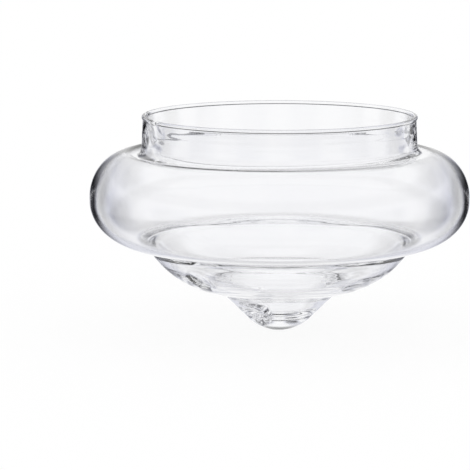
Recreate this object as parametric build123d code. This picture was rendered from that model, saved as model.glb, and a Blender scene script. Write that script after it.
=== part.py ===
from build123d import *

import math
import os

# Floating candle bowl in clear blown glass.
# A fire-polished rim stands on a short neck. Below it a hollow ring swells out and keeps the bowl afloat,
# a round-bottomed well hangs under the ring, and the glass ends in a pointed tip that was sealed off hot.
# Lengths are in millimetres, angles in degrees. Heights are counted from the bottom of the tip.
# The part's origin is on the axis at the waterline, with Z up.

# Overall sizes
BOWL_HEIGHT = 45.4
RING_DIAMETER = 79.2
MOUTH_DIAMETER = 55.0
WATERLINE_HEIGHT = 25.3

# Neck and rim
NECK_WALL = 1.2
NECK_FOOT_ROUND = 1.2

# Float ring
RING_WALL = 1.2
RING_TOP_HEIGHT = 37.7
RING_CROWN_FLAT = 1.6
RING_MIDDLE_HEIGHT = 27.95
RING_SIDE_BAND = 0.8
RING_FLOOR_HEIGHT = 18.1

# Crease under the ring, and the well below it
CREASE_RADIUS = 28.2
CREASE_ROUND = 0.8
WELL_WALL = 1.3
WELL_RIM_SLOPE = 59.5
WELL_FLOOR_SLOPE = 5.0

# Tip
TIP_ROOT_RADIUS = 12.7
TIP_ROOT_ROUND = 1.0
TIP_NOSE_ROUND = 9.2
TIP_FLOOR_THICKNESS = 3.1

# Seal nub, where the last thread of glass was pulled off
NUB_ROUND = 3.2
NUB_PROUD = 1.0
NUB_REACH = 8.0
NUB_TURN = -125.0


def rise(angle):
    """Unit vector across a wall that slopes at this angle, pointing to the inside of the bowl."""
    turn = math.radians(angle)
    return (-math.sin(turn), math.cos(turn))


def beside(point, distance, direction):
    """The point at a distance from another one, in the plane of the section."""
    return (point[0] + distance * direction[0], point[1] + distance * direction[1])


# Section in radius and height, from the rim down
mouth_radius = MOUTH_DIAMETER / 2
neck_radius = mouth_radius + NECK_WALL
ring_radius = RING_DIAMETER / 2
lip_round = NECK_WALL / 2
lip_height = BOWL_HEIGHT - lip_round
lip_middle = (mouth_radius + lip_round, lip_height)

foot_middle = (neck_radius + NECK_FOOT_ROUND, RING_TOP_HEIGHT + NECK_FOOT_ROUND)
foot_height = foot_middle[1]
crown_radius = foot_middle[0] + RING_CROWN_FLAT
shoulder_middle = (crown_radius, RING_MIDDLE_HEIGHT + RING_SIDE_BAND / 2)
belly_middle = (CREASE_RADIUS, RING_MIDDLE_HEIGHT - RING_SIDE_BAND / 2)

crease_middle = (CREASE_RADIUS, RING_FLOOR_HEIGHT - CREASE_ROUND)
well_rim = beside(crease_middle, CREASE_ROUND, rise(WELL_RIM_SLOPE))
well_round = (well_rim[0] - TIP_ROOT_RADIUS) / (rise(WELL_FLOOR_SLOPE)[0] - rise(WELL_RIM_SLOPE)[0])
well_middle = beside(well_rim, well_round, rise(WELL_RIM_SLOPE))
tip_root = beside(well_middle, -well_round, rise(WELL_FLOOR_SLOPE))

# The tip's flank is the straight line that touches both the round at its root and the round of its nose.
root_middle = beside(tip_root, -TIP_ROOT_ROUND, rise(WELL_FLOOR_SLOPE))
nose_middle = (0.0, TIP_NOSE_ROUND)
root_drop = nose_middle[1] - root_middle[1]
root_reach = math.hypot(root_middle[0], root_drop)
flank_slope = math.degrees(
    math.asin((TIP_ROOT_ROUND + TIP_NOSE_ROUND) / root_reach) - math.atan2(root_drop, root_middle[0])
)
flank_top = beside(root_middle, TIP_ROOT_ROUND, rise(flank_slope))
flank_foot = beside(nose_middle, -TIP_NOSE_ROUND, rise(flank_slope))

# The inside of the tip: its flank is one wall away, and its floor is a flatter round that touches that flank.
inner_flank_top = beside(flank_top, WELL_WALL, rise(flank_slope))
flank_share = 1 - rise(flank_slope)[1]
floor_round = TIP_NOSE_ROUND + (TIP_FLOOR_THICKNESS * (1 - flank_share) - WELL_WALL) / flank_share
floor_middle = (0.0, TIP_FLOOR_THICKNESS + floor_round)
inner_flank_foot = beside(floor_middle, -floor_round, rise(flank_slope))


def quarter(middle, corner, start):
    """Quarter of an ellipse round a middle point, of the corner's reach along each axis."""
    reach = (abs(corner[0] - middle[0]), abs(corner[1] - middle[1]))
    return EllipticalCenterArc(middle, *reach, start_angle=start, arc_size=90)


def wall_arc(middle, radius, low_slope, high_slope, side):
    """Arc of the wall between two slopes, on the upper side (1) or the lower side (-1) of its middle."""
    return CenterArc(middle, radius, side * 90 + low_slope, high_slope - low_slope)


def turned(edges):
    """The solid that a closed section makes when it turns round the bowl's axis."""
    solid = revolve(Plane.XZ * make_face(edges), axis=Axis.Z)
    return Pos(0, 0, -WATERLINE_HEIGHT) * solid


def make_rim():
    """Half-round lip that the flame melted smooth."""
    return turned([
        CenterArc(lip_middle, lip_round, 0, 180),
        Line((mouth_radius, lip_height), (neck_radius, lip_height)),
    ])


def make_neck():
    """Straight collar between the rim and the ring, whose inside is the mouth."""
    return turned([
        Line((neck_radius, foot_height), (neck_radius, lip_height)),
        Line((neck_radius, lip_height), (mouth_radius, lip_height)),
        Line((mouth_radius, lip_height), (mouth_radius, foot_height)),
        Line((mouth_radius, foot_height), (neck_radius, foot_height)),
    ])


def make_float_ring():
    """Hollow ring, from the foot of the neck round to the crease over the well."""
    inner_ring_radius = ring_radius - RING_WALL
    inner_top = RING_TOP_HEIGHT - RING_WALL
    inner_floor = RING_FLOOR_HEIGHT + WELL_WALL
    inner_crease = CREASE_ROUND + WELL_WALL
    outside = [
        quarter(foot_middle, (neck_radius, RING_TOP_HEIGHT), 180),
        Line((foot_middle[0], RING_TOP_HEIGHT), (crown_radius, RING_TOP_HEIGHT)),
        quarter(shoulder_middle, (ring_radius, RING_TOP_HEIGHT), 0),
        Line((ring_radius, shoulder_middle[1]), (ring_radius, belly_middle[1])),
        quarter(belly_middle, (ring_radius, RING_FLOOR_HEIGHT), 270),
        wall_arc(crease_middle, CREASE_ROUND, 0, WELL_RIM_SLOPE, 1),
    ]
    inside = [
        quarter(foot_middle, (mouth_radius, inner_top), 180),
        Line((foot_middle[0], inner_top), (crown_radius, inner_top)),
        quarter(shoulder_middle, (inner_ring_radius, inner_top), 0),
        Line((inner_ring_radius, shoulder_middle[1]), (inner_ring_radius, belly_middle[1])),
        quarter(belly_middle, (inner_ring_radius, inner_floor), 270),
        wall_arc(crease_middle, inner_crease, 0, WELL_RIM_SLOPE, 1),
    ]
    ends = [
        Line((mouth_radius, foot_height), (neck_radius, foot_height)),
        Line(well_rim, beside(crease_middle, inner_crease, rise(WELL_RIM_SLOPE))),
    ]
    return turned(outside + inside + ends)


def make_candle_well():
    """Round-bottomed well that holds the candle, from the crease to the root of the tip."""
    inner_root = TIP_ROOT_ROUND + WELL_WALL
    outside = [
        wall_arc(well_middle, well_round, WELL_FLOOR_SLOPE, WELL_RIM_SLOPE, -1),
        wall_arc(root_middle, TIP_ROOT_ROUND, WELL_FLOOR_SLOPE, flank_slope, 1),
    ]
    inside = [
        wall_arc(well_middle, well_round - WELL_WALL, WELL_FLOOR_SLOPE, WELL_RIM_SLOPE, -1),
        wall_arc(root_middle, inner_root, WELL_FLOOR_SLOPE, flank_slope, 1),
    ]
    ends = [
        Line(well_rim, beside(well_rim, WELL_WALL, rise(WELL_RIM_SLOPE))),
        Line(flank_top, inner_flank_top),
    ]
    return turned(outside + inside + ends)


def make_pointed_tip():
    """Thick-bottomed tip that keeps the floating bowl upright."""
    return turned([
        wall_arc(nose_middle, TIP_NOSE_ROUND, 0, flank_slope, -1),
        Line(flank_foot, flank_top),
        Line(flank_top, inner_flank_top),
        Line(inner_flank_top, inner_flank_foot),
        wall_arc(floor_middle, floor_round, 0, flank_slope, -1),
        Line((0, TIP_FLOOR_THICKNESS), (0, 0)),
    ])


def make_seal_nub():
    """Low lump on the tip's flank, shaped on its inner side by the outside of the tip and well."""
    below_skin = turned([
        wall_arc(nose_middle, TIP_NOSE_ROUND, 0, flank_slope, -1),
        Line(flank_foot, flank_top),
        wall_arc(root_middle, TIP_ROOT_ROUND, WELL_FLOOR_SLOPE, flank_slope, 1),
        wall_arc(well_middle, well_round, WELL_FLOOR_SLOPE, WELL_RIM_SLOPE, -1),
        Line(well_rim, (0, well_rim[1])),
        Line((0, well_rim[1]), (0, 0)),
    ])
    flank_rise = math.tan(math.radians(flank_slope))
    seat = (NUB_REACH, flank_top[1] - (flank_top[0] - NUB_REACH) * flank_rise)
    middle = beside(seat, NUB_ROUND - NUB_PROUD, rise(flank_slope))
    lump = Rot(0, 0, NUB_TURN) * Pos(middle[0], 0, middle[1] - WATERLINE_HEIGHT) * Sphere(NUB_ROUND)
    return lump - below_skin


pieces = {
    "rim": make_rim(),
    "neck": make_neck(),
    "float_ring": make_float_ring(),
    "candle_well": make_candle_well(),
    "pointed_tip": make_pointed_tip(),
    "seal_nub": make_seal_nub(),
}

os.makedirs("parts", exist_ok=True)
for node, shape in pieces.items():
    export_step(shape, f"parts/{node}.step")
    print(node, "volume", round(shape.volume, 1))
print("flank slope", round(flank_slope, 2), "well round", round(well_round, 2), "floor round", round(floor_round, 2))
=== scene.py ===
import math
from collections import namedtuple
from itertools import takewhile

import bmesh
import bpy
from bpy.props import FloatProperty, FloatVectorProperty, IntProperty, PointerProperty
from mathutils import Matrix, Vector


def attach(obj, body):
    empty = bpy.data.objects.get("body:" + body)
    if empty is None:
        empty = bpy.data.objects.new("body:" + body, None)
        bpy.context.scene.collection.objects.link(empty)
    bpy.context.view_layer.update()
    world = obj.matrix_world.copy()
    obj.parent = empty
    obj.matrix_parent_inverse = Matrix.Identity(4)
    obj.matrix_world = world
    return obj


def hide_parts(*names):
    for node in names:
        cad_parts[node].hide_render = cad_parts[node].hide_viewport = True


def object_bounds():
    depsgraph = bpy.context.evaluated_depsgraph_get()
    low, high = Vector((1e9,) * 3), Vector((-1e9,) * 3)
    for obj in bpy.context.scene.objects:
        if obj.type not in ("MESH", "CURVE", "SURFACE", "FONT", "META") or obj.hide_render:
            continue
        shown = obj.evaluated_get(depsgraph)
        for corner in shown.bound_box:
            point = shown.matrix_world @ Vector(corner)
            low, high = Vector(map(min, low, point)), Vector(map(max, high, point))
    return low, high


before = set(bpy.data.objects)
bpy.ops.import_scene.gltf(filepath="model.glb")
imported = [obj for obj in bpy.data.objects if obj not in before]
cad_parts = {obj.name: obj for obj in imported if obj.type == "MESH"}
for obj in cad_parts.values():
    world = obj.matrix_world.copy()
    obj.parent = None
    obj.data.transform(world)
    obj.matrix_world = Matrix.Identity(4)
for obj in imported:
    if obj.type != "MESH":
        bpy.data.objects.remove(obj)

bl_info = {
    "name": "Floating candle bowl",
    "version": (1, 0, 0),
    "blender": (4, 5, 0),
    "location": "3D View > Sidebar > Candle Bowl",
    "description": "Clear blown-glass bowl that floats a tealight, with its studio",
    "category": "Object",
}

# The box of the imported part, before any piece is dressed.
CAD_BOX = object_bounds()
TIP_BOTTOM = CAD_BOX[0].z
MM = 0.001

# Points of a mesh that lie closer than this, in metres, become one.
MERGE_DISTANCE = 1e-6

# On which side of a round's middle the wall runs.
UNDER = -1
OVER = 1

# Tool marks along a stretch of wall: how many waves it has, and each wave's share of the marks' depth.
NECK_WAVES = ((3.0, 1.0), (4.7, 0.5))
WELL_WAVES = ((5.0, 1.0), (8.7, 0.8), (13.3, 0.5))

# The value of a random pattern that leaves the wall as it is. Lower ones thin it and higher ones thicken it.
THIN_ONLY = 1.0
BOTH_WAYS = 0.5


def length(name, description, default):
    """A size, given here in millimetres and kept in metres, which the sidebar shows with its unit."""
    return FloatProperty(name=name, description=description, default=default * MM, precision=5, unit="LENGTH")


def slope(name, description, default):
    """An angle, given here in degrees and kept in radians."""
    return FloatProperty(name=name, description=description, default=math.radians(default), subtype="ANGLE")


def factor(name, description, default):
    """A share of something, from 0 to 1."""
    return FloatProperty(name=name, description=description, default=default, subtype="FACTOR", min=0, max=1)


def number(name, description, default):
    """A plain number."""
    return FloatProperty(name=name, description=description, default=default)


def whole(name, description, default):
    """A whole number, at least one."""
    return IntProperty(name=name, description=description, default=default, min=1)


def colour(name, description, default):
    """A linear colour swatch."""
    return FloatVectorProperty(
        name=name, description=description, default=default, subtype="COLOR", min=0, max=1
    )


class BowlShape(bpy.types.PropertyGroup):
    """Sizes of the blown shell. Heights are counted from the bottom of the tip."""

    bowl_height: length("Bowl height", "From the bottom of the tip to the top of the rim", 45.4)
    ring_diameter: length("Ring diameter", "Across the float ring, outside", 79.2)
    mouth_diameter: length("Mouth diameter", "Across the neck, inside", 55.0)
    neck_wall: length("Neck wall", "Width of the collar of the neck, rim included", 1.2)
    rim_bead: length("Rim bead", "Thickness of the melted rim", 0.92)
    rim_fillet: length("Rim fillet", "Round between the melted rim and the neck", 0.04)
    rim_outside: length("Rim outside", "How far the rim stands out over the neck outside", 0.24)
    rim_inside: length("Rim inside", "How far the rim stands out over the neck inside", 0.1)
    foot_wall: length("Foot wall", "Thickness of the neck at its foot", 0.955)
    foot_flare: length("Foot flare", "How far the neck's foot spreads over the ring", 0.82)
    foot_rise: length("Foot rise", "How high over the ring the foot starts to spread", 1.76)
    foot_lift: length("Foot lift", "How far the crease round the foot stands over the ring's top", 0.17)
    foot_tuck: factor("Foot tuck", "Share of the flare by which the foot's curve keeps to the neck", 0.9)
    foot_knee: factor("Foot knee", "Share of the rise at which the foot's curve turns out", 1 / 3)
    crown_turn: factor("Crown turn", "Share of the way from foot to crown at which the glass turns", 0.45)
    crown_wall: length("Crown wall", "Thickness of the glass in the top of the ring", 0.5)
    ring_wall: length("Ring wall", "Thickness of the glass in the side of the ring", 1.2)
    crease_wall: length("Crease wall", "Thickness of the glass in the crease under the ring", 0.95)
    ring_top: length("Ring top", "Height of the top of the ring", 37.7)
    crown_reach: length("Crown reach", "From the neck to the highest circle of the ring", 2.42)
    ring_middle: length("Ring middle", "Height of the widest part of the ring", 27.95)
    side_band: length("Side band", "Upright strip round the widest part of the ring", 0.8)
    ring_floor: length("Ring floor", "Height of the crease's outer side", 18.1)
    crease_radius: length("Crease radius", "From the axis to the crease under the ring", 28.2)
    crease_round: length("Crease round", "Round of the crease, outside", 0.8)
    crease_soft: length("Crease softness", "How far the inside turns softly beside the crease", 1.9)
    well_rim_slope: slope("Well rim slope", "Slope of the well where it leaves the crease", 59.5)
    well_floor_slope: slope("Well floor slope", "Slope of the well where it meets the tip", 5.0)
    root_radius: length("Tip root radius", "From the axis to where the tip leaves the well", 12.7)
    root_round: length("Tip root round", "Round between the well and the tip", 0.9)
    root_soft: length("Tip root softness", "How far the inside turns softly from well to root", 5.0)
    flank_soft: length("Flank softness", "How far the inside turns softly from root to flank", 1.6)
    nose_round: length("Tip nose round", "Round of the tip's nose", 9.2)
    floor_thickness: length("Tip thickness", "Glass between the nose and the inside of the tip", 3.09)
    tip_wall: length("Tip wall", "Thickness of the glass in the flank of the tip", 1.45)
    lathe_steps: whole("Lathe steps", "Steps of the turned shell", 216)


class HandWork(bpy.types.PropertyGroup):
    """What the flame and the glass worker's tools left in the glass."""

    neck_marks: length("Neck marks", "Depth of the rings that the shaping tool left in the neck", 0.008)
    well_marks: length("Well marks", "Depth of the rings that the shaping tool left in the well", 0.003)
    foot_tilt: slope("Foot tilt", "How far the circle of the neck's foot leans back", 1.07)
    foot_lean: slope("Foot lean", "How far the circle of the neck's foot leans to the left", 0.68)
    foot_reach: length("Foot reach", "How far round the foot the ring follows its lean", 2.6)
    dent_grip: factor("Dent grip", "Share of a dent's reach that moves as one", 0.25)
    streak_depth: length("Streak depth", "How much the wall of the well varies along its streaks", 0.06)
    streak_length: length("Streak length", "Length of a streak round the well", 30.0)
    streak_width: length("Streak width", "Width of a streak up the well", 3.0)
    streak_top: length("Streak top", "How far under the crease the streaks start", 1.0)
    streak_fade: length("Streak fade", "Height over which the streaks fade at both ends", 3.0)
    thread_depth: length("Thread depth", "How much the wall of the well varies along its threads", 0.02)
    thread_length: length("Thread length", "Length of a thread round the well", 14.0)
    thread_width: length("Thread width", "Width of a thread up the well", 0.9)
    wave_depth: length("Wave depth", "How much the sides of the neck vary in thickness", 0.08)
    wave_width: length("Wave width", "Width of a wave in the sides of the neck", 2.4)
    wave_fade: length("Wave fade", "Height over which the waves fade at the foot and the rim", 1.0)
    wave_start: factor("Wave start", "Share of the neck's radius beside the axis where waves start", 0.6)
    wave_full: factor("Wave full", "Share of the neck's radius beside the axis where waves are full", 0.9)


class SealNub(bpy.types.PropertyGroup):
    """The curl of glass on the tip, where the last thread was pulled off."""

    drops: whole("Drops", "Drops in each stretch of the curled thread", 5)
    drop_steps: whole("Drop steps", "Subdivisions of each drop", 3)
    grid: length("Grid", "Fineness with which the drops of the nub run together", 0.1)
    ragged: length("Ragged", "Depth of the torn facets", 0.08)
    grain: length("Grain", "Size of the torn facets", 1.3)
    cut: factor("Cut", "Share of the facets' depth that cuts into the thread", 0.6)
    facets: factor("Facets", "Share of the nub's faces that are kept", 0.5)
    edge: slope("Facet edge", "Angle over which an edge between facets stays sharp", 35)
    skin_height: length("Skin height", "Height up to which the outside of the tip cuts the nub off", 11.0)


class GlassFinish(bpy.types.PropertyGroup):
    """The colours and the optics of the glass."""

    clear: colour("Clear glass", "Colour of light after one face", (0.97, 0.972, 0.98))
    streak: colour("Streaked glass", "Colour where the melt is a little denser", (0.955, 0.957, 0.97))
    ior: number("Refractive index", "How strongly the glass bends light", 1.47)
    streak_scale: number("Streak scale", "Streaks of the melt in a metre", 90.0)
    streak_detail: number("Streak detail", "Finer rounds of those streaks", 3.0)
    tint_start: factor("Tint start", "Strength of a streak at which its tint starts", 0.35)
    tint_full: factor("Tint full", "Strength of a streak at which its tint is full", 0.7)
    haze_start: factor("Haze start", "Strength of a streak at which the polish dulls", 0.45)
    haze_full: factor("Haze full", "Strength of a streak at which the polish is dullest", 0.75)
    haze: factor("Haze", "Roughness where the polish is dullest", 0.015)
    swell: factor("Swell", "How strongly the face swells along the streaks", 0.15)
    swell_height: length("Swell height", "Height of the swells of the face", 0.1)


class StudioSettings(bpy.types.PropertyGroup):
    """Camera, floor and light. The glass shows greys by their height over the horizon."""

    distance: length("Camera distance", "From the camera to the aimed point on the axis", 600)
    aim_height: length("Aim height", "Height of that point above the tip", 24)
    elevation: slope("Elevation", "How far the camera looks down", 8.29)
    left_turn: slope("Turn to the left", "How far the camera turns, which sets the bowl to the right", 0.894)
    down_turn: slope("Turn down", "How far the camera dips, which sets the bowl higher", 0.375)
    view_angle: slope("View angle", "Width of the camera's view", 9.36)
    stage_steps: whole("Stage steps", "Sides of the floor and of the circle of cards", 96)
    floor_radius: length("Floor radius", "How far the floor reaches", 6000)
    floor_white: colour("Floor", "Colour of the floor", (0.08, 0.08, 0.08))
    floor_glow: number("Floor glow", "Light of the floor's own, which makes it white", 0.92)
    world_white: colour("Studio", "Colour of the light from all round", (1.0, 1.0, 1.0))
    card_distance: length("Card distance", "From the axis to the dark cards round the set", 1600)
    card_height: length("Card height", "From the bottom to the top of the cards", 3200)
    card_count: whole("Cards", "Dark cards round the set", 8)
    card_gap: number("Card gap", "Cosine over a card's share of the circle at which its edge starts", 0.8)
    card_core: number("Card core", "Cosine over a card's share of the circle at which it is full", -0.75)
    card_rim: factor("Card rim", "Strength of a card at which it has the grey of its edge", 0.3)
    card_edge: colour("Card edge", "Grey of the soft edges of the cards", (0.70, 0.71, 0.78))
    card_grey: colour("Card", "Grey of the cards", (0.02, 0.02, 0.024))
    card_low: slope("Card foot", "Height over the horizon under which the cards thin out", -12.0)
    card_high: slope("Card head", "Height over the horizon over which the cards fade", -2)
    card_fade: slope("Card fade", "How far the cards fade out above and below", 16)
    low_cards: factor("Low cards", "Strength of the cards near the table", 0.25)
    front_cards: factor("Front cards", "Strength of the cards on the camera's side", 0.35)
    table_foot: slope("Table foot", "Height under which the table is pale under the bowl", -83.0)
    shade_inside: slope("Shade inside", "Height of the inner edge of the bowl's ring of shade", -76.0)
    shade_outside: slope("Shade outside", "Height of the outer edge of the bowl's ring of shade", -66.0)
    shade_grey: colour("Shade", "Grey of the ring of shade on the table", (0.2, 0.2, 0.21))
    table_near: slope("Table near", "Height at which the table is pale round that shade", -59.0)
    table_pale: colour("Table near grey", "Grey of the table near the bowl", (0.85, 0.85, 0.87))
    table_middle: slope("Table middle", "Height at which the table is grey", -52.0)
    table_grey: colour("Table", "Grey of the table further from the bowl", (0.5, 0.5, 0.525))
    table_edge: slope("Table edge", "Height over which the table is white", -32.0)
    backdrop_top: slope("Backdrop top", "Height at which the white backdrop ends", 9.0)
    gap_low: slope("Gap foot", "Height over which the room behind the backdrop is dark", 14)
    gap_high: slope("Gap head", "Height up to which that room is dark", 26)
    gap_grey: colour("Gap", "Grey of the room over the backdrop", (0.04, 0.04, 0.045))
    lamp_edge: slope("Lamp edge", "Height over which the white lamp hangs", 36)
    bounces: whole("Bounces", "How often light may turn inside the wall", 32)


# Dents that the glass worker's tools left: the way round the axis in degrees, then in millimetres the radius
# and height of the middle, how far the glass moves outwards and upwards, and how far round it follows.
Dent = namedtuple("Dent", "turn radius height out up reach")
DENTS = (
    Dent(172, 28.3, 45.2, -0.30, -0.10, 1.5),
    Dent(-155, 28.3, 45.2, -0.20, -0.30, 2.0),
    Dent(-134, 22.9, 12.5, -0.40, 0.40, 3.4),
    Dent(-52, 20.9, 11.1, -0.15, 0.15, 0.9),
    Dent(-49, 20.4, 10.8, -0.15, 0.15, 0.9),
    Dent(-100, 22.6, 12.2, -0.10, 0.10, 1.1),
)

# The thread of glass that curled up into the nub, from drop to drop: the way round the axis in degrees, then
# the radius and height of the middle and the size in millimetres.
Drop = namedtuple("Drop", "turn radius height size")
THREAD = (
    Drop(-135, 11.2, 7.0, 0.45),
    Drop(-125, 11.2, 6.9, 0.60),
    Drop(-115, 11.1, 6.7, 0.75),
    Drop(-107, 10.5, 6.1, 0.85),
    Drop(-105, 9.1, 4.7, 0.95),
    Drop(-108, 7.8, 3.4, 0.95),
    Drop(-118, 6.6, 2.5, 0.85),
    Drop(-130, 6.7, 2.8, 0.65),
    Drop(-130, 7.9, 3.9, 0.60),
    Drop(-119, 8.6, 4.2, 0.90),
)


# Stretches of a section, in radius and height

def across(angle):
    """Unit step across a wall of this slope, towards the inside of the bowl."""
    return Vector((-math.sin(angle), math.cos(angle)))


def spread(first, last, count):
    """Evenly spaced numbers from the first to the last, without the last."""
    return [first + (last - first) * place / count for place in range(count)]


def bend(middle, radius, first, last, side, count):
    """Points along a round of the wall from one slope to another, under or over its middle."""
    return [middle + side * radius * across(angle) for angle in spread(first, last, count)]


def oval(middle, reach, first, last, count):
    """Points along part of an ellipse, between two angles in degrees."""
    angles = [math.radians(angle) for angle in spread(first, last, count)]
    return [middle + Vector((reach[0] * math.cos(a), reach[1] * math.sin(a))) for a in angles]


def straight(first, last, count):
    """Points along a straight stretch."""
    return [first.lerp(last, share) for share in spread(0.0, 1.0, count)]


def blend(first, corner, last, count):
    """Points along a soft turn from one point to another, towards the corner between them."""
    shares = spread(0.0, 1.0, count)
    return [first.lerp(corner, share).lerp(corner.lerp(last, share), share) for share in shares]


def crossing(first, first_way, second, second_way):
    """Where two straight lines meet, each through a point in its own direction."""
    apart = second - first
    return first + first_way * (apart.cross(second_way) / first_way.cross(second_way))


def combed(points, depth, waves):
    """The same stretch with shallow tool marks across it, which fade out at its ends."""
    marked = []
    last = len(points) - 1
    for place, point in enumerate(points):
        along = (points[min(place + 1, last)] - points[max(place - 1, 0)]).normalized()
        out = Vector((along.y, -along.x))
        share = place / last
        swing = sum(weight * math.sin(2 * math.pi * turns * share) for turns, weight in waves)
        marked.append(point + out * depth * swing * math.sin(math.pi * share))
    return marked


def notch(bead, fillet, overhang):
    """Drop from a bead's middle to the fillet under it, and the angle in degrees at which the two touch."""
    aside = bead - overhang + fillet
    drop = math.sqrt((bead + fillet) ** 2 - aside ** 2)
    return drop, math.degrees(math.atan2(drop, aside))


# Section of the shell

def neck_radius(shape):
    """From the axis to the outside of the neck."""
    return shape.mouth_diameter / 2 + shape.neck_wall


def neck_section(shape, work, crown):
    """Rim, neck and foot: up the outside from the ring's crown, over the lip and down the inside."""
    neck = neck_radius(shape)
    lip_round = shape.rim_bead / 2
    lip = Vector((neck - lip_round, shape.bowl_height - lip_round))

    # The melted rim is a bead on a thinner wall, with a small fillet under it on each side.
    fillet = (shape.rim_fillet, shape.rim_fillet)
    outer_drop, outer_turn = notch(lip_round, shape.rim_fillet, shape.rim_outside)
    inner_drop, inner_turn = notch(lip_round, shape.rim_fillet, shape.rim_inside)
    outer_waist = lip + Vector((lip_round - shape.rim_outside, -outer_drop))
    inner_waist = lip + Vector((shape.rim_inside - lip_round, -inner_drop))
    outer_fillet = outer_waist + Vector((shape.rim_fillet, 0))
    inner_fillet = inner_waist - Vector((shape.rim_fillet, 0))

    # The foot spreads and meets the ring in a crease. Inside, the wall turns softly.
    foot_crease = Vector((neck + shape.foot_flare, shape.ring_top + shape.foot_lift))
    foot_start = Vector((neck, shape.ring_top + shape.foot_rise))
    foot_bend = foot_crease.lerp(Vector((neck, foot_crease.y)), shape.foot_tuck)
    foot_bend += Vector((0, shape.foot_rise * shape.foot_knee))
    crown_bend = foot_crease.lerp(crown, shape.crown_turn) - Vector((0, shape.foot_lift / 2))
    inner_start = Vector((neck - shape.foot_wall, foot_start.y))
    inner_crown = crown - Vector((0, shape.crown_wall))
    inner_bend = Vector((inner_start.x, inner_crown.y))

    outside = (
        blend(crown, crown_bend, foot_crease, count=8)
        + blend(foot_crease, foot_bend, foot_start, count=10)
        + combed(straight(foot_start, outer_waist, count=22), work.neck_marks, NECK_WAVES)
        + oval(outer_fillet, fillet, 180, 180 - outer_turn, count=4)
    )
    over_lip = oval(lip, (lip_round, lip_round), -outer_turn, 180 + inner_turn, count=22)
    inside = (
        oval(inner_fillet, fillet, inner_turn, 0, count=4)
        + combed(straight(inner_waist, inner_start, count=22), work.neck_marks, NECK_WAVES)
        + blend(inner_start, inner_bend, inner_crown, count=16)
    )
    return outside + over_lip + inside


def well_shape(shape, crease):
    """Middle and radius of the well's round, which runs from the crease to the root of the tip."""
    rim_way = across(shape.well_rim_slope)
    floor_way = across(shape.well_floor_slope)
    rim = crease + shape.crease_round * rim_way
    radius = (rim.x - shape.root_radius) / (floor_way.x - rim_way.x)
    return rim + radius * rim_way, radius


def inside_of_well(shape, well, well_round):
    """Points down the inside of the well, whose wall changes from the crease to the tip."""
    rim_slope = shape.well_rim_slope
    floor_slope = shape.well_floor_slope
    high = rim_slope - shape.crease_soft / well_round
    low = floor_slope + shape.root_soft / well_round
    points = []
    for angle in spread(high, low, count=40):
        lower = (rim_slope - angle) / (rim_slope - floor_slope)
        wall = shape.crease_wall + (shape.tip_wall - shape.crease_wall) * lower
        points.append(well - (well_round - wall) * across(angle))
    return points


Tip = namedtuple("Tip", "slope nose flank_foot flank_top floor floor_round inner_foot inner_top")


def tip_shape(shape, root):
    """The tip, whose flank is the straight line that touches the rounds of its root and of its nose."""
    nose = Vector((0.0, shape.nose_round))
    drop = nose.y - root.y
    reach = math.hypot(root.x, drop)
    flank_slope = math.asin((shape.root_round + shape.nose_round) / reach) - math.atan2(drop, root.x)
    flank_way = across(flank_slope)
    flank_top = root + shape.root_round * flank_way
    share = 1 - math.cos(flank_slope)
    floor_round = shape.nose_round + (shape.floor_thickness * (1 - share) - shape.tip_wall) / share
    floor = Vector((0.0, shape.floor_thickness + floor_round))
    return Tip(
        slope=flank_slope,
        nose=nose,
        flank_foot=nose - shape.nose_round * flank_way,
        flank_top=flank_top,
        floor=floor,
        floor_round=floor_round,
        inner_foot=floor - floor_round * flank_way,
        inner_top=flank_top + shape.tip_wall * flank_way,
    )


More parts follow.
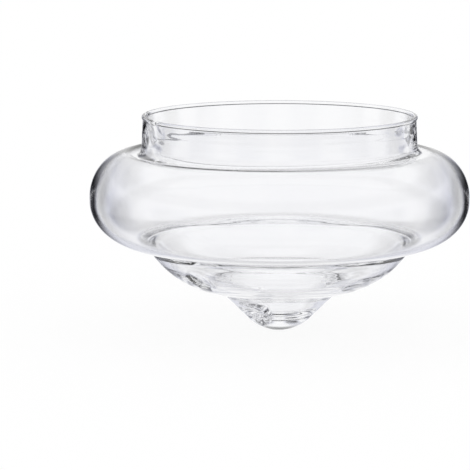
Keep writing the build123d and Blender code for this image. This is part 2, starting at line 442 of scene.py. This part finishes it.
def shell_section(shape, work):
    """Section of the glass from the nose, up the outside, over the lip and down the inside."""
    ring = shape.ring_diameter / 2
    inner_ring = ring - shape.ring_wall
    rim_slope = shape.well_rim_slope
    floor_slope = shape.well_floor_slope
    shoulder = Vector((neck_radius(shape) + shape.crown_reach, shape.ring_middle + shape.side_band / 2))
    crown = Vector((shoulder.x, shape.ring_top))
    belly = Vector((shape.crease_radius, shape.ring_middle - shape.side_band / 2))
    crease = Vector((shape.crease_radius, shape.ring_floor - shape.crease_round))
    well, well_round = well_shape(shape, crease)
    root = well - well_round * across(floor_slope) - shape.root_round * across(floor_slope)
    tip = tip_shape(shape, root)

    # Inside, the wall turns softly at the crease and at the root of the tip.
    inner_well = inside_of_well(shape, well, well_round)
    reach = Vector((inner_ring - belly.x, belly.y - shape.ring_floor - shape.crease_wall))
    turn = shape.crease_soft / reach.x
    soft_belly = belly + Vector((reach.x * math.sin(turn), -reach.y * math.cos(turn)))
    belly_way = Vector((reach.x * math.cos(turn), reach.y * math.sin(turn)))
    crease_corner = crossing(soft_belly, belly_way, inner_well[0], inner_well[1] - inner_well[0])
    flank_way = tip.inner_foot - tip.inner_top
    soft_flank = tip.inner_top + flank_way.normalized() * shape.flank_soft
    root_corner = crossing(inner_well[-1], inner_well[-1] - inner_well[-2], soft_flank, flank_way)

    outside = (
        bend(tip.nose, shape.nose_round, 0.0, tip.slope, UNDER, count=16)
        + straight(tip.flank_foot, tip.flank_top, count=10)
        + bend(root, shape.root_round, tip.slope, floor_slope, OVER, count=8)
        + combed(bend(well, well_round, floor_slope, rim_slope, UNDER, count=64), work.well_marks, WELL_WAVES)
        + bend(crease, shape.crease_round, rim_slope, 0.0, OVER, count=10)
        + oval(belly, (ring - belly.x, belly.y - shape.ring_floor), -90, 0, count=36)
        + straight(Vector((ring, belly.y)), Vector((ring, shoulder.y)), count=2)
        + oval(shoulder, (ring - shoulder.x, crown.y - shoulder.y), 0, 90, count=36)
    )
    inside = (
        oval(shoulder, (inner_ring - shoulder.x, crown.y - shape.crown_wall - shoulder.y), 90, 0, count=34)
        + straight(Vector((inner_ring, shoulder.y)), Vector((inner_ring, belly.y)), count=2)
        + oval(belly, reach, 0, math.degrees(turn) - 90, count=34)
        + blend(soft_belly, crease_corner, inner_well[0], count=12)
        + combed(inner_well, work.well_marks, WELL_WAVES)
        + blend(inner_well[-1], root_corner, soft_flank, count=16)[1:]
        + straight(soft_flank, tip.inner_foot, count=5)
        + bend(tip.floor, tip.floor_round, tip.slope, 0.0, UNDER, count=12)
        + [Vector((0.0, shape.floor_thickness))]
    )
    lift = Vector((0.0, TIP_BOTTOM))
    return [point + lift for point in outside + neck_section(shape, work, crown) + inside]


# Modelling steps

def take(piece):
    """Selects one piece alone and makes it the active one."""
    bpy.ops.object.select_all(action="DESELECT")
    piece.select_set(True)
    bpy.context.view_layer.objects.active = piece


def label(piece, name):
    """Names a piece and its mesh."""
    piece.name = name
    piece.data.name = name


def work_over(piece, kind, **settings):
    """Changes a piece with one modifier of this kind, and applies it."""
    take(piece)
    change = piece.modifiers.new(kind.lower(), kind)
    for setting, value in settings.items():
        setattr(change, setting, value)
    bpy.ops.object.modifier_apply(modifier=change.name)


def close_mesh():
    """Merges the doubles of the opened piece and turns its faces outwards."""
    bpy.ops.mesh.select_all(action="SELECT")
    bpy.ops.mesh.remove_doubles(threshold=MERGE_DISTANCE)
    bpy.ops.mesh.normals_make_consistent(inside=False)


def turn_on_lathe(name, section, steps):
    """Draws a section point by point, as by hand, and spins it round the axis to a closed, smooth piece."""
    bpy.ops.object.select_all(action="DESELECT")
    bpy.ops.mesh.primitive_plane_add(size=MM)
    piece = bpy.context.object
    label(piece, name)
    bpy.ops.object.mode_set(mode="EDIT")
    bpy.ops.mesh.merge(type="CENTER")
    bpy.ops.transform.translate(value=(section[0].x, 0.0, section[0].y))
    for here, there in zip(section, section[1:]):
        step = there - here
        bpy.ops.mesh.extrude_vertices_move(TRANSFORM_OT_translate={"value": (step.x, 0.0, step.y)})
    bpy.ops.mesh.select_all(action="SELECT")
    bpy.ops.mesh.spin(steps=steps, angle=2 * math.pi, center=(0, 0, 0), axis=(0, 0, 1))
    close_mesh()
    bpy.ops.object.mode_set(mode="OBJECT")
    bpy.ops.object.shade_smooth()
    return piece


def grip(piece, chosen):
    """Selects the points of an opened piece that pass a test of their place."""
    bpy.ops.mesh.select_all(action="DESELECT")
    drawing = bmesh.from_edit_mesh(piece.data)
    for point in drawing.verts:
        if chosen(point.co):
            point.select_set(True)
    bmesh.update_edit_mesh(piece.data)


def spot(turn, radius, height):
    """Place on the glass, from its turn round the axis in degrees, and radius and height in millimetres."""
    angle = math.radians(turn)
    return Vector((math.cos(angle) * radius * MM, math.sin(angle) * radius * MM, TIP_BOTTOM + height * MM))


def ramp(value, low, high):
    """Share of the way from one value to another, from 0 to 1."""
    return min(max((value - low) / (high - low), 0.0), 1.0)


def mark_zone(piece, name, weight):
    """Names a zone of a piece, with a weight for each place in it."""
    zone = piece.vertex_groups.new(name=name)
    for point in piece.data.vertices:
        share = weight(point.co)
        if share > 0:
            zone.add([point.index], share, "REPLACE")


def ripple(piece, kind, grain, depth, level, zone=""):
    """Moves the faces of a piece, or of a zone of it, by a random pattern of this grain along X, Y and Z."""
    bpy.ops.object.select_all(action="DESELECT")
    bpy.ops.object.empty_add(location=(0, 0, 0))
    guide = bpy.context.object
    guide.scale = grain
    bpy.context.view_layer.update()
    pattern = bpy.data.textures.new("hand_pattern", kind)
    pattern.noise_scale = 1.0
    if kind == "CLOUDS":
        pattern.noise_depth = 0
    work_over(
        piece, "DISPLACE", texture=pattern, texture_coords="OBJECT", texture_coords_object=guide,
        strength=depth, mid_level=level, vertex_group=zone,
    )
    bpy.data.objects.remove(guide)
    bpy.data.textures.remove(pattern)


def streak_well(shell, shape, work):
    """Thins the wall of the well along streaks and finer threads that run round it."""
    top = TIP_BOTTOM + shape.ring_floor - work.streak_top
    floor = TIP_BOTTOM + shape.floor_thickness

    def in_well(place):
        return ramp(place.z, top, top - work.streak_fade) * ramp(place.z, floor, floor + work.streak_fade)

    mark_zone(shell, "well", in_well)
    streaks = (work.streak_length, work.streak_length, work.streak_width)
    threads = (work.thread_length, work.thread_length, work.thread_width)
    ripple(shell, "CLOUDS", streaks, work.streak_depth, THIN_ONLY, zone="well")
    ripple(shell, "CLOUDS", threads, work.thread_depth, THIN_ONLY, zone="well")


def wave_neck(shell, shape, work):
    """Makes the wall uneven on the left and right of the neck."""
    neck = neck_radius(shape)
    edge = neck + work.wave_fade / 2
    foot = TIP_BOTTOM + shape.ring_top + shape.foot_rise
    lip = TIP_BOTTOM + shape.bowl_height - shape.rim_bead

    def beside_mouth(place):
        if math.hypot(place.x, place.y) > edge:
            return 0.0
        upright = ramp(place.z, foot - work.wave_fade, foot) * ramp(place.z, lip, lip - work.wave_fade)
        return upright * ramp(abs(place.x), work.wave_start * neck, work.wave_full * neck)

    mark_zone(shell, "neck_sides", beside_mouth)
    waves = (work.wave_width, work.wave_width, work.wave_width)
    ripple(shell, "CLOUDS", waves, work.wave_depth, BOTH_WAYS, zone="neck_sides")


def tilt_foot(shell, shape, work):
    """Leans the crease round the neck's foot, which was joined by hand while the ring was soft."""
    foot_radius = neck_radius(shape) + shape.foot_flare
    height = TIP_BOTTOM + shape.ring_top + shape.foot_lift
    near = shape.crown_wall / 2

    def in_foot(place):
        beside = math.hypot(place.x, place.y) - foot_radius
        return math.hypot(beside, place.z - height) < near

    grip(shell, in_foot)
    for axis, angle in (("X", work.foot_tilt), ("Y", work.foot_lean)):
        bpy.ops.transform.rotate(
            value=angle, orient_axis=axis, center_override=(0, -foot_radius, height),
            use_proportional_edit=True, proportional_edit_falloff="SMOOTH", proportional_size=work.foot_reach,
        )


def dent(shell, mark, work):
    """Pushes one hand mark into one side of the wall."""
    middle = spot(mark.turn, mark.radius, mark.height)
    moved = spot(mark.turn, mark.radius + mark.out, mark.height + mark.up)
    reach = mark.reach * MM
    grip(shell, lambda place: (place - middle).length < reach * work.dent_grip)
    bpy.ops.transform.translate(
        value=moved - middle, use_proportional_edit=True, use_proportional_connected=True,
        proportional_edit_falloff="SMOOTH", proportional_size=reach,
    )


def curl_thread(nub):
    """Lays drops of glass along the curled thread and joins them in one object."""
    drops = []
    for here, there in zip(THREAD, THREAD[1:]):
        for share in spread(0.0, 1.0, nub.drops):
            drop = Drop(*(first + (last - first) * share for first, last in zip(here, there)))
            bpy.ops.mesh.primitive_ico_sphere_add(
                subdivisions=nub.drop_steps, radius=drop.size * MM,
                location=spot(drop.turn, drop.radius, drop.height),
            )
            drops.append(bpy.context.object)
    bpy.ops.object.select_all(action="DESELECT")
    for drop in drops:
        drop.select_set(True)
    bpy.ops.object.join()
    bpy.ops.object.transform_apply(location=True, rotation=True, scale=True)
    return bpy.context.object


def tip_skin(shape, work, nub):
    """A solid inside the outer face of the tip, which cuts the nub to its seat."""
    top = TIP_BOTTOM + nub.skin_height
    outside = takewhile(lambda point: point.y < top, shell_section(shape, work))
    return turn_on_lathe("skin", [*outside, Vector((0.0, top))], shape.lathe_steps)


def dress(piece, material, *nodes):
    """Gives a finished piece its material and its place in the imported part."""
    piece.data.materials.clear()
    piece.data.materials.append(material)
    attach(piece, "root")
    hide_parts(*nodes)


# Materials

class Nodes:
    """A node tree, built node by node."""

    def __init__(self, tree):
        self.tree = tree
        self.tree.nodes.clear()

    def add(self, kind, **settings):
        """A node of this kind, with its settings."""
        node = self.tree.nodes.new(kind)
        for setting, value in settings.items():
            setattr(node, setting, value)
        return node

    def link(self, start, end):
        """Joins an output to an input."""
        self.tree.links.new(start, end)

    def math(self, operation, first, second=None):
        """A sum of an output with another output or a number."""
        node = self.add("ShaderNodeMath", operation=operation)
        self.link(first, node.inputs[0])
        if isinstance(second, (int, float)):
            node.inputs[1].default_value = second
        elif second is not None:
            self.link(second, node.inputs[1])
        return node.outputs["Value"]

    def fade(self, value, start, end, low=0.0, high=1.0):
        """A soft step from one number to another while a value goes from start to end."""
        node = self.add("ShaderNodeMapRange", interpolation_type="SMOOTHSTEP")
        node.inputs["From Min"].default_value = start
        node.inputs["From Max"].default_value = end
        node.inputs["To Min"].default_value = low
        node.inputs["To Max"].default_value = high
        self.link(value, node.inputs["Value"])
        return node.outputs["Result"]

    def colours(self, value, stops):
        """A colour that changes with a value, from stop to stop."""
        node = self.add("ShaderNodeValToRGB")
        elements = node.color_ramp.elements
        while len(elements) < len(stops):
            elements.new(1.0)
        for element, (position, shade) in zip(elements, stops):
            element.position = position
            element.color = (*shade, 1)
        self.link(value, node.inputs["Fac"])
        return node.outputs["Color"]

    def place(self, kind):
        """The X, Y and Z of a texture coordinate of this kind."""
        coordinates = self.add("ShaderNodeTexCoord")
        parts = self.add("ShaderNodeSeparateXYZ")
        self.link(coordinates.outputs[kind], parts.inputs["Vector"])
        return parts.outputs


def new_material(name):
    """An empty material, with its nodes and its output."""
    material = bpy.data.materials.new(name)
    material.use_nodes = True
    nodes = Nodes(material.node_tree)
    return material, nodes, nodes.add("ShaderNodeOutputMaterial")


def clear_glass(finish):
    """Fire-polished clear glass, faintly cool, streaked in its tint, polish and face. All pieces share it."""
    material = bpy.data.materials.get("blown_glass")
    if material:
        return material
    material, nodes, output = new_material("blown_glass")
    glass = nodes.add("ShaderNodeBsdfPrincipled")
    glass.inputs["IOR"].default_value = finish.ior
    glass.inputs["Transmission Weight"].default_value = 1.0
    place = nodes.add("ShaderNodeTexCoord")
    streaks = nodes.add("ShaderNodeTexNoise")
    streaks.inputs["Scale"].default_value = finish.streak_scale
    streaks.inputs["Detail"].default_value = finish.streak_detail
    nodes.link(place.outputs["Object"], streaks.inputs["Vector"])
    strength = streaks.outputs["Fac"]
    tint = nodes.colours(strength, [(finish.tint_start, finish.clear), (finish.tint_full, finish.streak)])
    nodes.link(tint, glass.inputs["Base Color"])
    haze = nodes.fade(strength, finish.haze_start, finish.haze_full, 0.0, finish.haze)
    nodes.link(haze, glass.inputs["Roughness"])
    swell = nodes.add("ShaderNodeBump")
    swell.inputs["Strength"].default_value = finish.swell
    swell.inputs["Distance"].default_value = finish.swell_height
    nodes.link(strength, swell.inputs["Height"])
    nodes.link(swell.outputs["Normal"], glass.inputs["Normal"])
    nodes.link(glass.outputs["BSDF"], output.inputs["Surface"])
    return material


def pale_floor(studio):
    """Matt pale floor with light of its own for the camera, so that it is white and keeps a soft shadow."""
    material, nodes, output = new_material("pale_floor")
    matt = nodes.add("ShaderNodeBsdfDiffuse")
    matt.inputs["Color"].default_value = (*studio.floor_white, 1)
    rays = nodes.add("ShaderNodeLightPath")
    glow = nodes.add("ShaderNodeEmission")
    glow.inputs["Strength"].default_value = studio.floor_glow
    nodes.link(rays.outputs["Is Camera Ray"], glow.inputs["Color"])
    both = nodes.add("ShaderNodeAddShader")
    nodes.link(matt.outputs["BSDF"], both.inputs[0])
    nodes.link(glow.outputs["Emission"], both.inputs[1])
    nodes.link(both.outputs["Shader"], output.inputs["Surface"])
    return material


def dark_cards(studio):
    """Dark upright cards with soft edges and open gaps between them, spaced evenly round the set."""
    material, nodes, output = new_material("dark_cards")
    place = nodes.place("Object")
    bearing = nodes.math("ARCTAN2", place["Y"], place["X"])
    swing = nodes.math("COSINE", nodes.math("MULTIPLY", bearing, studio.card_count))
    beside = nodes.fade(swing, studio.card_gap, studio.card_core)
    height = nodes.math("ARCTANGENT", nodes.math("DIVIDE", place["Z"], studio.card_distance))
    foot = nodes.fade(height, studio.card_low - studio.card_fade, studio.card_low, studio.low_cards, 1.0)
    head = nodes.fade(height, studio.card_high + studio.card_fade, studio.card_high)
    side = nodes.fade(place["Y"], -studio.card_distance / 2, 0.0, studio.front_cards, 1.0)
    cover = nodes.math("MULTIPLY", nodes.math("MULTIPLY", beside, side), nodes.math("MULTIPLY", foot, head))
    stops = (
        (0.0, studio.world_white),
        (studio.card_rim, studio.card_edge),
        (1.0, studio.card_grey),
    )
    card = nodes.add("ShaderNodeBsdfTransparent")
    nodes.link(nodes.colours(cover, stops), card.inputs["Color"])
    nodes.link(card.outputs["BSDF"], output.inputs["Surface"])
    return material


def white_studio(studio):
    """White light from all round. Only through the glass are the dark room, the lamp and the table seen."""
    world = bpy.data.worlds.new("white_studio")
    world.use_nodes = True
    nodes = Nodes(world.node_tree)
    output = nodes.add("ShaderNodeOutputWorld")
    stops = (
        (studio.table_foot, studio.table_pale),
        (studio.shade_inside, studio.shade_grey),
        (studio.shade_outside, studio.shade_grey),
        (studio.table_near, studio.table_pale),
        (studio.table_middle, studio.table_grey),
        (studio.table_edge, studio.world_white),
        (studio.backdrop_top, studio.world_white),
        (studio.gap_low, studio.gap_grey),
        (studio.gap_high, studio.gap_grey),
        (studio.lamp_edge, studio.world_white),
    )

    # The greys follow the sine of the height over the horizon, from straight down at 0 to straight up at 1.
    height = nodes.math("MULTIPLY", nodes.math("ADD", nodes.place("Generated")["Z"], 1.0), 0.5)
    seen = nodes.colours(height, [(math.sin(angle) / 2 + 0.5, grey) for angle, grey in stops])
    rays = nodes.add("ShaderNodeLightPath")
    mixed = nodes.add("ShaderNodeMixRGB")
    mixed.inputs["Color1"].default_value = (*studio.world_white, 1)
    nodes.link(rays.outputs["Is Transmission Ray"], mixed.inputs["Fac"])
    nodes.link(seen, mixed.inputs["Color2"])
    light = nodes.add("ShaderNodeBackground")
    nodes.link(mixed.outputs["Color"], light.inputs["Color"])
    nodes.link(light.outputs["Background"], output.inputs["Surface"])
    return world


# Operators

class BOWL_OT_glass_shell(bpy.types.Operator):
    """Blow the shell: rim, neck, float ring, well and tip in one wall of glass"""

    bl_idname = "bowl.glass_shell"
    bl_label = "Glass Shell"
    bl_options = {"REGISTER", "UNDO"}

    def execute(self, context):
        shape = context.scene.bowl_shape
        work = context.scene.bowl_work
        shell = turn_on_lathe("glass_shell", shell_section(shape, work), shape.lathe_steps)
        streak_well(shell, shape, work)
        wave_neck(shell, shape, work)
        bpy.ops.object.mode_set(mode="EDIT")
        bpy.ops.mesh.select_mode(type="VERT")
        tilt_foot(shell, shape, work)
        for mark in DENTS:
            dent(shell, mark, work)
        bpy.ops.object.mode_set(mode="OBJECT")
        shell.vertex_groups.clear()
        glass = clear_glass(context.scene.bowl_finish)
        dress(shell, glass, "rim", "neck", "float_ring", "candle_well", "pointed_tip")
        return {"FINISHED"}


class BOWL_OT_seal_nub(bpy.types.Operator):
    """Tear off the last thread of glass: the ragged scar on the flank of the tip"""

    bl_idname = "bowl.seal_nub"
    bl_label = "Seal Nub"
    bl_options = {"REGISTER", "UNDO"}

    def execute(self, context):
        nub = context.scene.bowl_nub
        lump = curl_thread(nub)
        label(lump, "seal_nub_scar")
        work_over(lump, "REMESH", mode="VOXEL", voxel_size=nub.grid)
        ripple(lump, "VORONOI", (nub.grain, nub.grain, nub.grain), nub.ragged, nub.cut)
        work_over(lump, "DECIMATE", ratio=nub.facets)
        skin = tip_skin(context.scene.bowl_shape, context.scene.bowl_work, nub)
        work_over(lump, "BOOLEAN", operation="DIFFERENCE", solver="EXACT", object=skin)
        bpy.data.objects.remove(skin)
        bpy.ops.object.mode_set(mode="EDIT")
        close_mesh()
        bpy.ops.object.mode_set(mode="OBJECT")
        bpy.ops.object.shade_smooth_by_angle(angle=nub.edge)
        dress(lump, clear_glass(context.scene.bowl_finish), "seal_nub")
        return {"FINISHED"}


class BOWL_OT_studio(bpy.types.Operator):
    """Set up the floor, the light, the dark cards and the camera"""

    bl_idname = "bowl.studio"
    bl_label = "Studio"
    bl_options = {"REGISTER", "UNDO"}

    def execute(self, context):
        studio = context.scene.bowl_studio
        scene = context.scene
        bpy.ops.object.select_all(action="DESELECT")
        bpy.ops.mesh.primitive_circle_add(
            vertices=studio.stage_steps, radius=studio.floor_radius, fill_type="NGON",
            location=(0, 0, TIP_BOTTOM),
        )
        floor = context.object
        floor.name = "floor"
        floor.data.materials.append(pale_floor(studio))
        floor.visible_transmission = False
        floor.visible_glossy = False

        bpy.ops.mesh.primitive_cylinder_add(
            vertices=studio.stage_steps, radius=studio.card_distance, depth=studio.card_height,
            end_fill_type="NOTHING",
        )
        cards = context.object
        cards.name = "dark_cards"
        cards.data.materials.append(dark_cards(studio))
        cards.visible_camera = False
        cards.visible_shadow = False
        cards.visible_diffuse = False

        aim = Vector((0, 0, TIP_BOTTOM + studio.aim_height))
        back = Vector((0, -math.cos(studio.elevation), math.sin(studio.elevation)))
        bpy.ops.object.camera_add(location=aim + back * studio.distance)
        camera = context.object
        camera.name = "camera"
        camera.rotation_euler = (math.pi / 2 - studio.elevation - studio.down_turn, 0, studio.left_turn)
        camera.data.angle = studio.view_angle

        scene.camera = camera
        scene.world = white_studio(studio)
        scene.cycles.max_bounces = studio.bounces
        scene.cycles.glossy_bounces = studio.bounces
        scene.cycles.transmission_bounces = studio.bounces
        scene.view_settings.view_transform = "Standard"
        return {"FINISHED"}


class BOWL_PT_sidebar(bpy.types.Panel):
    """Lists the steps of the bowl"""

    bl_idname = "BOWL_PT_sidebar"
    bl_label = "Candle Bowl"
    bl_space_type = "VIEW_3D"
    bl_region_type = "UI"
    bl_category = "Candle Bowl"

    def draw(self, context):
        for step in STEPS:
            self.layout.operator(step.bl_idname)


STEPS = (BOWL_OT_glass_shell, BOWL_OT_seal_nub, BOWL_OT_studio)
GROUPS = {
    "bowl_shape": BowlShape,
    "bowl_work": HandWork,
    "bowl_nub": SealNub,
    "bowl_finish": GlassFinish,
    "bowl_studio": StudioSettings,
}
CLASSES = (*GROUPS.values(), *STEPS, BOWL_PT_sidebar)


def register():
    for item in CLASSES:
        bpy.utils.register_class(item)
    for name, group in GROUPS.items():
        setattr(bpy.types.Scene, name, PointerProperty(type=group))


def unregister():
    for name in GROUPS:
        delattr(bpy.types.Scene, name)
    for item in reversed(CLASSES):
        bpy.utils.unregister_class(item)


def main():
    register()
    bpy.ops.bowl.glass_shell()
    bpy.ops.bowl.seal_nub()
    bpy.ops.bowl.studio()


if __name__ == "__main__":
    main()
